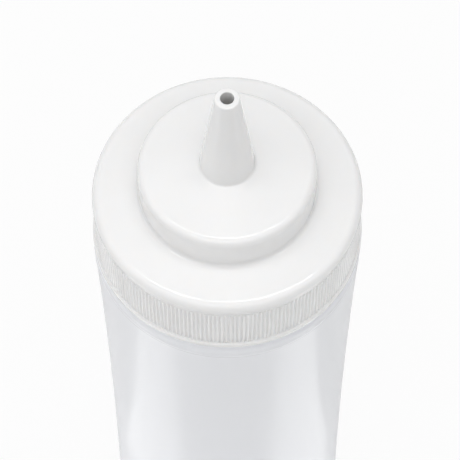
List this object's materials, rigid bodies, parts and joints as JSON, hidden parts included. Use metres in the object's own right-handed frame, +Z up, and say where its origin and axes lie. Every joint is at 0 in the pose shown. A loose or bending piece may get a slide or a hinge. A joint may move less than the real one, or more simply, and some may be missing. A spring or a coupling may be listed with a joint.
{
  "type": "squeeze bottle",
  "caption": "Translucent soft plastic squeeze bottle with a wide ribbed screw cap and a cone nozzle for sauce.",
  "frame": {"origin": "middle of the foot, in the plane the bottle stands on", "axes": "+Z up along the bottle's axis, towards the nozzle's tip"},
  "size_m": [0.071, 0.071, 0.2227],
  "materials": {
    "bottle": "satin, milky translucent",
    "cap": "semi-gloss, moulded white"
  },
  "bodies": {
    "root": {"bottle": "bottle", "cap": "cap"}
  },
  "joints": []
}
